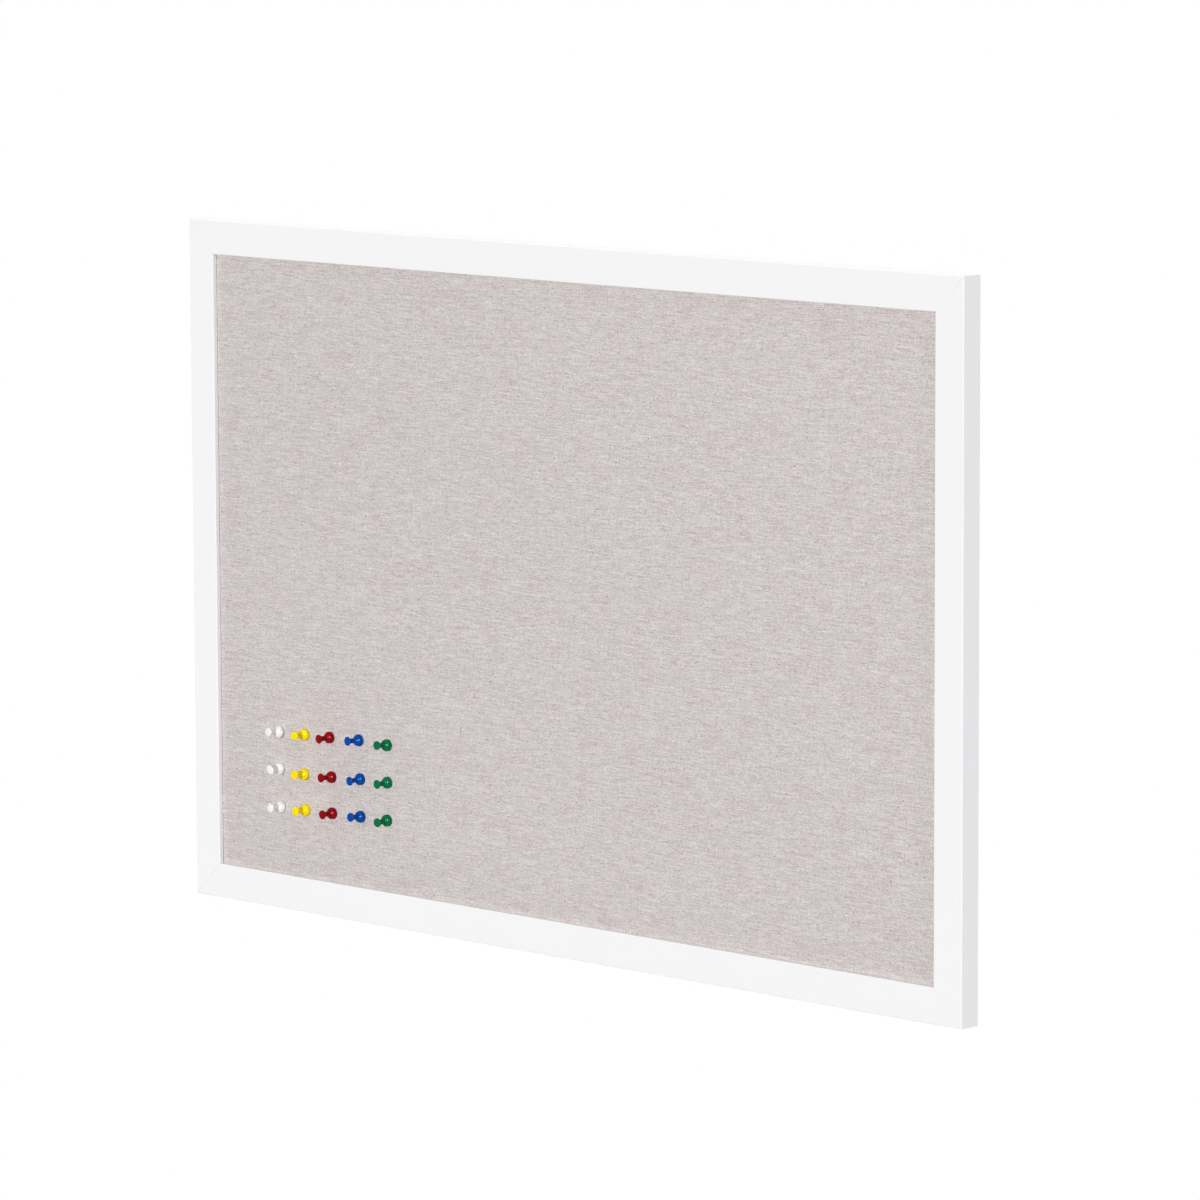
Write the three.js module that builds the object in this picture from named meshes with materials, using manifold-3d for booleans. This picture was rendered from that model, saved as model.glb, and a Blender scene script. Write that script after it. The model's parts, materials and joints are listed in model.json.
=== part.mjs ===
// Bulletin board: a linen-covered pin panel in a mitred white frame, with fifteen push pins in
// five colours on its front and two ring hangers on its back.
// Millimetres. X runs to the right, Y from the front of the board towards the wall, Z up.
// The origin lies on the wall, midway between the two points where the rings hang.

import * as THREE from "three";
import { mergeVertices } from "three/addons/utils/BufferGeometryUtils.js";
import Module from "manifold-3d";

const wasm = await Module();
wasm.setup();

// Frame: four rails, mitred at the corners, with a rabbet behind their front lip
const boardWidth = 762;
const boardHeight = 508;
const frameDepth = 17;
const railFace = 25.4;
const lipDepth = 4;
const rabbetWidth = 6.4;
const frontEdgeRadius = 0.8;
const backEdgeRadius = 0.5;
const glueLine = 0.1;

// Panel: linen wrapped round a soft pin board, with a thin hard board behind it
const linenThickness = 0.6;
const coreThickness = 8.5;
const backingThickness = 1.6;
const hemWidth = 22;
const panelClearance = 0.8;
const layerGap = 0.1;

// Push pin handle: a domed skirt, a narrow waist and a disc to push on
const handleLength = 12.4;
const skirtRadius = 4.4;
const skirtTuck = 0.5;
const skirtRise = 1.3;
const skirtDome = 3.9;
const waistRadius = 1.85;
const waistFillet = 0.9;
const waistFilletLength = 1.4;
const headRadius = 3.3;
const headThickness = 1;
const headCrown = 0.45;
const headEdge = 0.3;
const headFlare = 1.7;

// Push pin needle, moulded into the handle
const needleRadius = 0.55;
const needleInHandle = 6;
const needlePoint = 2.4;
const needleTipClearance = 0.5;
const needleHoldClearance = 0.3;
const pinHoleClearance = 0.3;
const pinSeatClearance = 0.1;

// Where the pins are stuck in: columns from the frame's left lip, rows from its bottom lip
const pinColumnInset = 64.5;
const pinColumnPitch = 28.5;
const pinRowInset = 51.4;
const pinRowPitch = 28;

// Ring hanger: a strap folded round a wire ring, and one screw
const ringWireRadius = 1;
const ringInsideWidth = 13;
const ringShoulder = 3;
const ringCornerRadius = 2;
const ringJoint = 0.4;
const strapThickness = 0.8;
const strapWidth = 10;
const strapLength = 25;
const strapFoldGap = 0.2;
const strapFoldDegrees = 60;
const ringClearance = 0.25;
const hangerInset = 11.5;
const hangerDrop = 70;
const screwDrop = 17.5;
const screwLength = 12;
const screwShankRadius = 1.7;
const screwTip = 3;
const screwHeadRadius = 3.3;
const screwHeadHeight = 2.1;
const screwHeadEdge = 0.8;
const screwHoleClearance = 0.3;
const crossLength = 3.6;
const crossWidth = 0.8;
const crossDepth = 1.2;

// Flexible steel points that hold the panel in the rabbet
const pointWidth = 6;
const pointThickness = 0.4;
const pointLength = 14;
const pointInRail = 5;
const pointTip = 2.5;
const pointSlotClearance = 0.1;
const pointInset = 131;

// Corner nails, driven in from behind across each mitre
const nailWing = 7;
const nailThickness = 0.5;
const nailDepth = 10;
const nailClearance = 0.2;

// Rubber bumpers that keep the board off the wall
const bumperRadius = 5.5;
const bumperHeight = 5;
const bumperFaceRadius = 3.6;
const bumperEdge = 1.2;
const bumperInset = 34;

// How far a cut runs past the piece it cuts
const overrun = 1;

// Facets round each turned or swept form, and steps along each curve
const handleFacets = 14;
const needleFacets = 8;
const screwFacets = 14;
const bumperFacets = 16;
const ringFacets = 8;
const ringSteps = 36;
const outlineSteps = 3;
const edgeSteps = 2;
const foldSteps = 6;
const strapEndSteps = 4;

const halfTurn = Math.PI;
const quarterTurn = halfTurn / 2;

function finish(color, roughness, metalness) {
  return new THREE.MeshStandardMaterial({ color, roughness, metalness });
}

const whitePaint = () => finish("#f4f4f3", 0.42, 0);
const linen = () => finish("#cec6c4", 0.95, 0);
const softBoard = () => finish("#b79f7c", 0.95, 0);
const hardBoard = () => finish("#7b5a3c", 0.8, 0);
const zincSteel = () => finish("#b9bcbe", 0.38, 1);
const brightSteel = () => finish("#c8cacc", 0.22, 1);
const greyRubber = () => finish("#d5d6d4", 0.7, 0);

// Solids and surfaces
function solidOf(geometry) {
  const bare = geometry.clone();
  bare.deleteAttribute("normal");
  bare.deleteAttribute("uv");
  const shared = mergeVertices(bare);
  const vertProperties = new Float32Array(shared.attributes.position.array);
  const triVerts = new Uint32Array(shared.index.array);
  return new wasm.Manifold(new wasm.Mesh({ numProp: 3, vertProperties, triVerts }));
}

function geometryOf(solid) {
  const mesh = solid.getMesh();
  const geometry = new THREE.BufferGeometry();
  geometry.setAttribute("position", new THREE.BufferAttribute(mesh.vertProperties, 3));
  geometry.setIndex(new THREE.BufferAttribute(mesh.triVerts, 1));
  const flat = geometry.toNonIndexed();
  flat.computeVertexNormals();
  return flat;
}

const joined = (solids) => solids.reduce((whole, next) => whole.add(next));

function named(name, geometry, material) {
  const mesh = new THREE.Mesh(geometry, material);
  mesh.name = name;
  return mesh;
}

// A plate across the board from one depth to another
function plate(width, height, front, back) {
  const geometry = new THREE.BoxGeometry(width, back - front, height);
  geometry.translate(0, (front + back) / 2, 0);
  return geometry;
}

// An outline drawn in X and Z, given its thickness along Y from a front depth
function upright(outline, front, thickness, curveSegments = edgeSteps) {
  const geometry = new THREE.ExtrudeGeometry(outline, {
    depth: thickness,
    bevelEnabled: false,
    curveSegments,
  });
  geometry.rotateX(quarterTurn);
  geometry.translate(0, front + thickness, 0);
  return geometry;
}

// Frame

// The rail's section: x is the distance in from the outer edge, y the depth behind the front face
function railSection() {
  const inner = railFace - rabbetWidth;
  const section = new THREE.Shape();
  section.moveTo(frontEdgeRadius, 0);
  section.lineTo(railFace - frontEdgeRadius, 0);
  section.absarc(railFace - frontEdgeRadius, frontEdgeRadius, frontEdgeRadius, -quarterTurn, 0);
  section.lineTo(railFace, lipDepth);
  section.lineTo(inner, lipDepth);
  section.lineTo(inner, frameDepth);
  section.lineTo(backEdgeRadius, frameDepth);
  section.absarc(backEdgeRadius, frameDepth - backEdgeRadius, backEdgeRadius, quarterTurn, 2 * quarterTurn);
  section.lineTo(0, frontEdgeRadius);
  section.absarc(frontEdgeRadius, frontEdgeRadius, frontEdgeRadius, 2 * quarterTurn, 3 * quarterTurn);
  return section;
}

// A rail along X with its outer edge up at height 0, cut to the two mitres
function railSolid(length) {
  const bar = new THREE.ExtrudeGeometry(railSection(), {
    depth: length,
    bevelEnabled: false,
    curveSegments: edgeSteps,
  });
  bar.translate(0, 0, -length / 2);
  bar.rotateY(quarterTurn);
  const halfGlue = glueLine / Math.SQRT2;
  const outerHalf = length / 2 - halfGlue + overrun;
  const innerHalf = length / 2 - halfGlue - railFace - overrun;
  const plan = new THREE.Shape();
  plan.moveTo(-outerHalf, overrun);
  plan.lineTo(-innerHalf, -railFace - overrun);
  plan.lineTo(innerHalf, -railFace - overrun);
  plan.lineTo(outerHalf, overrun);
  return solidOf(bar).intersect(solidOf(upright(plan, -overrun, frameDepth + 2 * overrun)));
}

const halfWidth = boardWidth / 2;
const halfHeight = boardHeight / 2;

// The middle of a rail's flat back, in from the outer edge
const flatCentre = (railFace - rabbetWidth) / 2;

// Each side's points say where its retainer points go: at its middle, or out towards its ends
const sides = [
  { name: "top_rail", length: boardWidth, turn: 0, x: 0, z: halfHeight, points: [-1, 0, 1] },
  { name: "right_stile", length: boardHeight, turn: quarterTurn, x: halfWidth, z: 0, points: [0] },
  { name: "bottom_rail", length: boardWidth, turn: halfTurn, x: 0, z: -halfHeight, points: [-1, 0, 1] },
  { name: "left_stile", length: boardHeight, turn: -quarterTurn, x: -halfWidth, z: 0, points: [0] },
];

const corners = [
  { name: "top_left", turn: 0, x: -1, z: 1 },
  { name: "top_right", turn: quarterTurn, x: 1, z: 1 },
  { name: "bottom_right", turn: halfTurn, x: 1, z: -1 },
  { name: "bottom_left", turn: -quarterTurn, x: -1, z: -1 },
];

// A place on the board: a turn about Y, then a move
function placing(turn, x, y, z) {
  return new THREE.Matrix4().makeRotationY(turn).setPosition(x, y, z);
}

// Panel
const panelWidth = boardWidth - 2 * (railFace - rabbetWidth + panelClearance);
const panelHeight = boardHeight - 2 * (railFace - rabbetWidth + panelClearance);
const linenFront = lipDepth + layerGap;
const coreFront = linenFront + linenThickness + layerGap;
const coreBack = coreFront + coreThickness;
const hemBack = coreBack + layerGap + linenThickness;
const backingFront = hemBack + layerGap;
const backingBack = backingFront + backingThickness;
const wrap = linenThickness + layerGap;

// The linen goes over the core's face, round its four edges and a hem's width in behind it
function linenSolid() {
  const outside = solidOf(plate(panelWidth, panelHeight, linenFront, hemBack));
  const inWidth = panelWidth - 2 * linenThickness;
  const inHeight = panelHeight - 2 * linenThickness;
  const inside = solidOf(plate(inWidth, inHeight, linenFront + linenThickness, coreBack + layerGap));
  const windowWidth = panelWidth - 2 * hemWidth;
  const windowHeight = panelHeight - 2 * hemWidth;
  const backWindow = solidOf(plate(windowWidth, windowHeight, coreBack, hemBack + overrun));
  return outside.subtract(inside).subtract(backWindow);
}

function coreSolid() {
  return solidOf(plate(panelWidth - 2 * wrap, panelHeight - 2 * wrap, coreFront, coreBack));
}

// Push pins
const pinColours = [
  { name: "white", color: "#f3f3f1" },
  { name: "yellow", color: "#ffe40a" },
  { name: "red", color: "#960a16" },
  { name: "blue", color: "#004bb4" },
  { name: "green", color: "#007d41" },
];

// How far each pin stands off its place on the grid, in shares of the pitch, and how its head leans
const pinShiftShares = [
  [[-0.01, -0.05], [-0.06, -0.02], [-0.12, 0.01], [-0.03, 0.05], [0.01, 0.03]],
  [[-0.01, -0.03], [-0.08, -0.08], [-0.06, -0.04], [0.01, 0.03], [0.01, 0.05]],
  [[0.02, -0.05], [-0.05, -0.03], [-0.05, 0], [0.01, 0.03], [-0.01, 0.05]],
];
const pinLeanDegrees = [
  [[-3, 6], [1, 2], [-3, -1], [-5, 2], [2, 6]],
  [[4, 3], [2, 4], [-2, 3], [-2, -2], [-1, -1]],
  [[-1, 2], [1, 2], [3, 1], [2, 5], [3, -2]],
];

const needleReach = backingFront - linenFront - needleTipClearance;

// The handle's half outline: x is the radius, y the height above its foot
function handleOutline() {
  const outline = new THREE.Path();
  const boreRadius = needleRadius + needleHoldClearance;
  const domeEnd = Math.acos((waistRadius + waistFillet) / skirtRadius);
  const domeTop = skirtRise + skirtDome * Math.sin(domeEnd);
  const waistTop = handleLength - headCrown - headThickness - headFlare;
  const headFoot = handleLength - headCrown - headThickness;
  outline.moveTo(0, needleInHandle + needleHoldClearance);
  outline.lineTo(boreRadius, needleInHandle + needleHoldClearance);
  outline.lineTo(boreRadius, 0);
  outline.lineTo(skirtRadius - skirtTuck, 0);
  outline.absellipse(0, skirtRise, skirtRadius, skirtDome, 0, domeEnd);
  outline.quadraticCurveTo(waistRadius, domeTop + waistFillet / 2, waistRadius, domeTop + waistFilletLength);
  outline.lineTo(waistRadius, waistTop);
  outline.quadraticCurveTo(waistRadius, headFoot, headRadius - headEdge, headFoot);
  outline.lineTo(headRadius, headFoot + headEdge);
  outline.lineTo(headRadius, handleLength - headCrown);
  outline.quadraticCurveTo(headRadius / 2, handleLength, 0, handleLength);
  return outline.getPoints(outlineSteps);
}

function handleGeometry() {
  return new THREE.LatheGeometry(handleOutline(), handleFacets);
}

function needleGeometry() {
  const outline = new THREE.Path();
  outline.moveTo(0, -needleReach);
  outline.lineTo(needleRadius, needlePoint - needleReach);
  outline.lineTo(needleRadius, needleInHandle);
  outline.lineTo(0, needleInHandle);
  return new THREE.LatheGeometry(outline.getPoints(), needleFacets);
}

const pins = pinColours.flatMap((colour, column) =>
  pinShiftShares.map((rowShares, row) => {
    const [shiftX, shiftZ] = rowShares[column];
    const [leanX, leanZ] = pinLeanDegrees[row][column].map(THREE.MathUtils.degToRad);
    const out = new THREE.Vector3(Math.tan(leanX), -1, Math.tan(leanZ)).normalize();
    const lowRim = (skirtRadius - skirtTuck) * Math.hypot(out.x, out.z);
    const rowsUp = pinShiftShares.length - 1 - row;
    const foot = new THREE.Vector3(
      railFace - halfWidth + pinColumnInset + (column + shiftX) * pinColumnPitch,
      linenFront - pinSeatClearance - lowRim,
      railFace - halfHeight + pinRowInset + (rowsUp + shiftZ) * pinRowPitch,
    );
    return { name: `${colour.name}_pin_${row + 1}`, color: colour.color, foot, out };
  }),
);

// Turns a pin that points straight up, along Y, so that it points out of the board
function pinTurn(pin) {
  return new THREE.Quaternion()
    .setFromUnitVectors(new THREE.Vector3(0, -1, 0), pin.out)
    .multiply(new THREE.Quaternion().setFromAxisAngle(new THREE.Vector3(1, 0, 0), Math.PI));
}

function pinGroup(pin) {
  const group = new THREE.Group();
  group.position.copy(pin.foot);
  group.quaternion.copy(pinTurn(pin));
  group.add(named(`${pin.name}_handle`, handleGeometry(), finish(pin.color, 0.16, 0)));
  group.add(named(`${pin.name}_needle`, needleGeometry(), brightSteel()));
  return group;
}

// The hole that a pin's needle makes through the linen and the core
function pinHole(pin) {
  const length = needleReach + needleTipClearance + 2 * overrun;
  const hole = new THREE.CylinderGeometry(
    needleRadius + pinHoleClearance,
    needleRadius + pinHoleClearance,
    length,
    needleFacets,
  );
  hole.translate(0, overrun - length / 2, 0);
  hole.applyQuaternion(pinTurn(pin));
  hole.translate(pin.foot.x, pin.foot.y, pin.foot.z);
  return solidOf(hole);
}

// Ring hangers
const loopRadius = ringWireRadius + ringClearance + strapThickness;
const strapBack = 2 * strapThickness + strapFoldGap;
const ringHalf = ringInsideWidth / 2 + ringWireRadius;
const ringEyeTop = ringShoulder + ringHalf - ringWireRadius;
const foldTurn = THREE.MathUtils.degToRad(strapFoldDegrees);

// The strap's side outline: x is the distance off the frame, y the height above the ring's bar
function strapFold() {
  const inRadius = loopRadius - strapThickness;
  const slope = 1 / Math.tan(foldTurn);
  const fold = new THREE.Shape();
  const outX = loopRadius + loopRadius * Math.cos(foldTurn);
  const outY = -loopRadius * Math.sin(foldTurn);
  const inX = loopRadius + inRadius * Math.cos(foldTurn);
  const inY = -inRadius * Math.sin(foldTurn);
  const leafFront = strapThickness + strapFoldGap;
  fold.moveTo(0, -strapLength);
  fold.lineTo(0, 0);
  fold.absarc(loopRadius, 0, loopRadius, Math.PI, -foldTurn, true);
  fold.lineTo(strapBack, outY - (outX - strapBack) * slope);
  fold.lineTo(strapBack, -strapLength);
  fold.lineTo(leafFront, -strapLength);
  fold.lineTo(leafFront, inY - (inX - leafFront) * slope);
  fold.lineTo(inX, inY);
  fold.absarc(loopRadius, 0, inRadius, -foldTurn, Math.PI, false);
  fold.lineTo(strapThickness, -strapLength);
  return fold;
}

function strapGeometry() {
  const folded = new THREE.ExtrudeGeometry(strapFold(), {
    depth: strapWidth,
    bevelEnabled: false,
    curveSegments: foldSteps,
  });
  folded.translate(0, 0, -strapWidth / 2);
  folded.applyMatrix4(
    new THREE.Matrix4().makeBasis(
      new THREE.Vector3(0, 1, 0),
      new THREE.Vector3(0, 0, 1),
      new THREE.Vector3(1, 0, 0),
    ),
  );
  const endRadius = strapWidth / 2;
  const plan = new THREE.Shape();
  plan.moveTo(-endRadius - overrun, loopRadius + overrun);
  plan.lineTo(-endRadius, endRadius - strapLength);
  plan.absarc(0, endRadius - strapLength, endRadius, Math.PI, 2 * Math.PI);
  plan.lineTo(endRadius + overrun, loopRadius + overrun);
  const rounded = solidOf(upright(plan, -overrun, 2 * loopRadius + 2 * overrun, strapEndSteps));
  const holeRadius = screwShankRadius + screwHoleClearance;
  const hole = new THREE.CylinderGeometry(holeRadius, holeRadius, 2 * strapBack + 2 * overrun, screwFacets);
  hole.translate(0, 0, -screwDrop);
  return geometryOf(solidOf(folded).intersect(rounded).subtract(solidOf(hole)));
}

// A flat path stood upright, its x along X and its y along Z
class UprightPath extends THREE.Curve {
  constructor(path) {
    super();
    this.path = path;
  }

  getPoint(t) {
    const point = this.path.getPoint(t);
    return new THREE.Vector3(point.x, 0, point.y);
  }
}

// The ring is one bent wire, whose two ends meet inside the strap's fold
function ringGeometry() {
  const path = new THREE.Path();
  const cornerX = ringHalf - ringCornerRadius;
  path.moveTo(ringJoint / 2, 0);
  path.lineTo(cornerX, 0);
  path.absarc(cornerX, ringCornerRadius, ringCornerRadius, -quarterTurn, 0);
  path.lineTo(ringHalf, ringShoulder);
  path.absarc(0, ringShoulder, ringHalf, 0, Math.PI);
  path.lineTo(-ringHalf, ringCornerRadius);
  path.absarc(-cornerX, ringCornerRadius, ringCornerRadius, Math.PI, 3 * quarterTurn);
  path.lineTo(-ringJoint / 2, 0);
  const wire = new THREE.Shape();
  wire.absarc(0, 0, ringWireRadius, 0, 2 * Math.PI);
  return new THREE.ExtrudeGeometry(wire, {
    extrudePath: new UprightPath(path),
    steps: ringSteps,
    curveSegments: ringFacets / 2,
    bevelEnabled: false,
  });
}

// A pan-head screw with a cross recess, its head's seat at height 0
function screwGeometry() {
  const outline = new THREE.Path();
  outline.moveTo(0, -screwLength);
  outline.lineTo(screwShankRadius, screwTip - screwLength);
  outline.lineTo(screwShankRadius, 0);
  outline.lineTo(screwHeadRadius, 0);
  outline.lineTo(screwHeadRadius, screwHeadEdge);
  outline.quadraticCurveTo(screwHeadRadius, screwHeadHeight, 0, screwHeadHeight);
  const turned = new THREE.LatheGeometry(outline.getPoints(outlineSteps), screwFacets);
  const crossHeight = crossDepth + overrun;
  const slots = [
    new THREE.BoxGeometry(crossLength, crossHeight, crossWidth),
    new THREE.BoxGeometry(crossWidth, crossHeight, crossLength),
  ];
  for (const slot of slots) {
    slot.translate(0, screwHeadHeight - crossDepth + crossHeight / 2, 0);
  }
  return geometryOf(solidOf(turned).subtract(joined(slots.map(solidOf))));
}

const hangerHeight = halfHeight - hangerDrop;
const hangers = [
  { name: "left_hanger", x: hangerInset - halfWidth },
  { name: "right_hanger", x: halfWidth - hangerInset },
];

function hangerGroup(hanger) {
  const group = new THREE.Group();
  group.position.set(hanger.x, frameDepth, hangerHeight);
  const strap = named(`${hanger.name}_strap`, strapGeometry(), zincSteel());
  const ring = named(`${hanger.name}_ring`, ringGeometry(), zincSteel());
  ring.position.set(0, loopRadius, 0);
  const screw = named(`${hanger.name}_screw`, screwGeometry(), zincSteel());
  screw.position.set(0, strapBack, -screwDrop);
  group.add(strap, ring, screw);
  return group;
}

// The hole that a hanger's screw makes in the stile
function screwHole(hanger) {
  const radius = screwShankRadius + screwHoleClearance;
  const depth = screwLength - strapBack + screwHoleClearance;
  const hole = new THREE.CylinderGeometry(radius, radius, depth + overrun, screwFacets);
  hole.translate(hanger.x, frameDepth + overrun - (depth + overrun) / 2, hangerHeight - screwDrop);
  return solidOf(hole);
}

// Flexible points: each is driven into the rabbet's wall and lies on the backing
function pointGeometry() {
  const half = pointWidth / 2;
  const outline = new THREE.Shape();
  outline.moveTo(-half, pointInRail - pointLength);
  outline.lineTo(half, pointInRail - pointLength);
  outline.lineTo(half, pointInRail - pointTip);
  outline.lineTo(0, pointInRail);
  outline.lineTo(-half, pointInRail - pointTip);
  return upright(outline, 0, pointThickness);
}

// Where each point goes: along its own rail, with the rabbet's wall at height 0
const pointFront = backingBack + layerGap;
const pointPlaces = sides.flatMap((side) =>
  side.points.map((step) => {
    const along = step * (side.length / 2 - pointInset);
    const reach = railFace - rabbetWidth;
    const x = side.x - reach * Math.sin(side.turn) + along * Math.cos(side.turn);
    const z = side.z - reach * Math.cos(side.turn) - along * Math.sin(side.turn);
    return placing(side.turn, x, pointFront, z);
  }),
);

function pointSlot(place) {
  const width = pointWidth + 2 * pointSlotClearance;
  const thickness = pointThickness + 2 * pointSlotClearance;
  const slot = new THREE.BoxGeometry(width, thickness, pointInRail + pointSlotClearance + overrun);
  slot.translate(0, pointThickness / 2, (pointInRail + pointSlotClearance - overrun) / 2);
  slot.applyMatrix4(place);
  return solidOf(slot);
}

// Corner nails: a steel angle across the mitre, one wing in each rail
function nailOutline(grow) {
  const out = nailThickness / 2 + grow;
  const end = nailWing + grow;
  const outline = new THREE.Shape();
  outline.moveTo(-out, out);
  outline.lineTo(-out, -end);
  outline.lineTo(out, -end);
  outline.lineTo(out, -out);
  outline.lineTo(end, -out);
  outline.lineTo(end, out);
  return outline;
}

const nailPlaces = corners.map((corner) =>
  placing(
    corner.turn,
    corner.x * (halfWidth - flatCentre),
    frameDepth - nailDepth,
    corner.z * (halfHeight - flatCentre),
  ),
);

function nailSlot(place) {
  const slot = upright(nailOutline(nailClearance), -nailClearance, nailDepth + nailClearance + overrun);
  slot.applyMatrix4(place);
  return solidOf(slot);
}

// Bumpers
function bumperGeometry() {
  const outline = new THREE.Path();
  outline.moveTo(0, 0);
  outline.lineTo(bumperRadius, 0);
  outline.lineTo(bumperRadius, bumperEdge);
  outline.quadraticCurveTo(bumperRadius, bumperHeight, bumperFaceRadius, bumperHeight);
  outline.lineTo(0, bumperHeight);
  return new THREE.LatheGeometry(outline.getPoints(outlineSteps), bumperFacets);
}

// Assembly
const board = new THREE.Group();
board.position.set(0, -frameDepth - bumperHeight, -hangerHeight - ringEyeTop);

const railCuts = joined([
  ...pointPlaces.map(pointSlot),
  ...nailPlaces.map(nailSlot),
  ...hangers.map(screwHole),
]);
for (const side of sides) {
  const rail = geometryOf(railSolid(side.length));
  rail.applyMatrix4(placing(side.turn, side.x, 0, side.z));
  board.add(named(side.name, geometryOf(solidOf(rail).subtract(railCuts)), whitePaint()));
}

const pinHoles = joined(pins.map(pinHole));
board.add(named("linen_cloth", geometryOf(linenSolid().subtract(pinHoles)), linen()));
board.add(named("core_board", geometryOf(coreSolid().subtract(pinHoles)), softBoard()));
board.add(named("backing_panel", plate(panelWidth, panelHeight, backingFront, backingBack), hardBoard()));
board.add(...pins.map(pinGroup));
board.add(...hangers.map(hangerGroup));

pointPlaces.forEach((place, i) => {
  const point = named(`retainer_point_${i + 1}`, pointGeometry(), zincSteel());
  point.applyMatrix4(place);
  board.add(point);
});

corners.forEach((corner, i) => {
  const nail = named(`corner_nail_${corner.name}`, upright(nailOutline(0), 0, nailDepth), brightSteel());
  nail.applyMatrix4(nailPlaces[i]);
  board.add(nail);
  const bumper = named(`wall_bumper_${corner.name}`, bumperGeometry(), greyRubber());
  bumper.position.set(
    corner.x * (halfWidth - bumperInset),
    frameDepth,
    corner.z * (halfHeight - flatCentre),
  );
  board.add(bumper);
});

const part = new THREE.Group();
part.add(board);

export default part;
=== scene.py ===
# %% [markdown]
# # A linen bulletin board
# The board hangs on a wall: a white mitred frame, a soft panel covered in linen, and fifteen
# push pins in its lower left corner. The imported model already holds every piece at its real
# size and in its place. This lesson gives those pieces their finished shapes and surfaces.
# Lengths are in metres, Z is up, and the wall stands at Y = 0 behind the board.

import json
import math

import bpy
from mathutils import Matrix, Vector

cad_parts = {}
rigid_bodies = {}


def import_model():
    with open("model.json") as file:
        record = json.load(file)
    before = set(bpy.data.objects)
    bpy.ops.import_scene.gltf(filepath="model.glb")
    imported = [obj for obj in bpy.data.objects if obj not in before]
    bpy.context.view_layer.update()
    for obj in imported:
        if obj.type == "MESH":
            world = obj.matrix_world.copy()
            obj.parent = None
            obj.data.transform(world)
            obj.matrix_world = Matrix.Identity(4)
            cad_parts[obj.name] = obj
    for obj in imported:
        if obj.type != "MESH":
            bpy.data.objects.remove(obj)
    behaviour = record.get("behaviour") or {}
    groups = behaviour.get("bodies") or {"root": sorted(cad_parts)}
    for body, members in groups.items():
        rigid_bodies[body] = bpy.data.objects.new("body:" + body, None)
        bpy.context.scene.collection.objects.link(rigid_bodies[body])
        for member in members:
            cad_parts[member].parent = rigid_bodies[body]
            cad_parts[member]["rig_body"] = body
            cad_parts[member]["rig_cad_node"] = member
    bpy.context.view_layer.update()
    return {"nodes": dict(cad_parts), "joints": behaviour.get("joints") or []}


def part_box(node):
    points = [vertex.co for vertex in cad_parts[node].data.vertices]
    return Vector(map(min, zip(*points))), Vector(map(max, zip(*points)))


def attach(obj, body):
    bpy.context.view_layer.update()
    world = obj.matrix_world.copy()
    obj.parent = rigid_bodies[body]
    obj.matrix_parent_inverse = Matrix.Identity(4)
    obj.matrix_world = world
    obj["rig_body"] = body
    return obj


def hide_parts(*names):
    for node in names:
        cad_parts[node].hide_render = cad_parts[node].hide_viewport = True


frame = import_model()
MM = 0.001

# %% [markdown]
# ## Working by hand, in code
# A hand would click on the faces it wants and press a key. Here `pick` does the clicking: it
# selects faces, edges or points by where they are or which way they look, and leaves the piece
# in edit mode for the next operator. `start` begins a piece from nothing selected.

# %% Helpers for selecting and finishing
SELECT_MODES = {
    "points": (True, False, False),
    "edges": (False, True, False),
    "faces": (False, False, True),
}


def start(name, add, **settings):
    if bpy.context.mode != "OBJECT":
        bpy.ops.object.mode_set(mode="OBJECT")
    bpy.ops.object.select_all(action="DESELECT")
    add(**settings)
    piece = bpy.context.active_object
    piece.name = name
    piece.data.name = name
    bpy.ops.object.transform_apply(location=True, rotation=True, scale=True)
    return piece


def alone(piece):
    if bpy.context.mode != "OBJECT":
        bpy.ops.object.mode_set(mode="OBJECT")
    bpy.ops.object.select_all(action="DESELECT")
    piece.select_set(True)
    bpy.context.view_layer.objects.active = piece


def pick(piece, kind, test):
    alone(piece)
    mesh = piece.data
    bpy.context.tool_settings.mesh_select_mode = SELECT_MODES[kind]
    for group in (mesh.vertices, mesh.edges, mesh.polygons):
        group.foreach_set("select", [False] * len(group))
    if kind == "faces":
        for face in mesh.polygons:
            face.select = test(face.center, face.normal)
    elif kind == "edges":
        for edge in mesh.edges:
            a, b = (mesh.vertices[i].co for i in edge.vertices)
            edge.select = test(a, b)
    else:
        for point in mesh.vertices:
            point.select = test(point.co)
    bpy.ops.object.mode_set(mode="EDIT")


NEAR = 0.01 * MM
WELD = 0.001 * MM


def near(a, b, reach=NEAR):
    return abs(a - b) < reach


def modify(piece, kind, **settings):
    alone(piece)
    modifier = piece.modifiers.new(kind.title(), kind)
    for key, value in settings.items():
        setattr(modifier, key, value)
    bpy.ops.object.modifier_apply(modifier=modifier.name)


def smooth(piece, degrees=35):
    alone(piece)
    bpy.ops.object.shade_smooth_by_angle(angle=math.radians(degrees))


def join(name, pieces):
    alone(pieces[0])
    for piece in pieces:
        piece.select_set(True)
    bpy.ops.object.join()
    pieces[0].name = name
    return pieces[0]


def cut(piece, cutter):
    modify(piece, "BOOLEAN", object=cutter, operation="DIFFERENCE", solver="EXACT")


def finish(piece, material, body, slot, *nodes):
    piece.data.materials.clear()
    piece.data.materials.append(material)
    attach(piece, body)
    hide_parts(*nodes)


# %% [markdown]
# ## Shader maths
# A finish is a graph of nodes. Written as Python, `1 - mask` or `grain * 0.3 + 0.7` adds the
# Math nodes that it needs. `Value` wraps a socket and carries those operators. `Finish` is a
# material with one method for every other node: its type, its settings, then its sockets.

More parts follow.
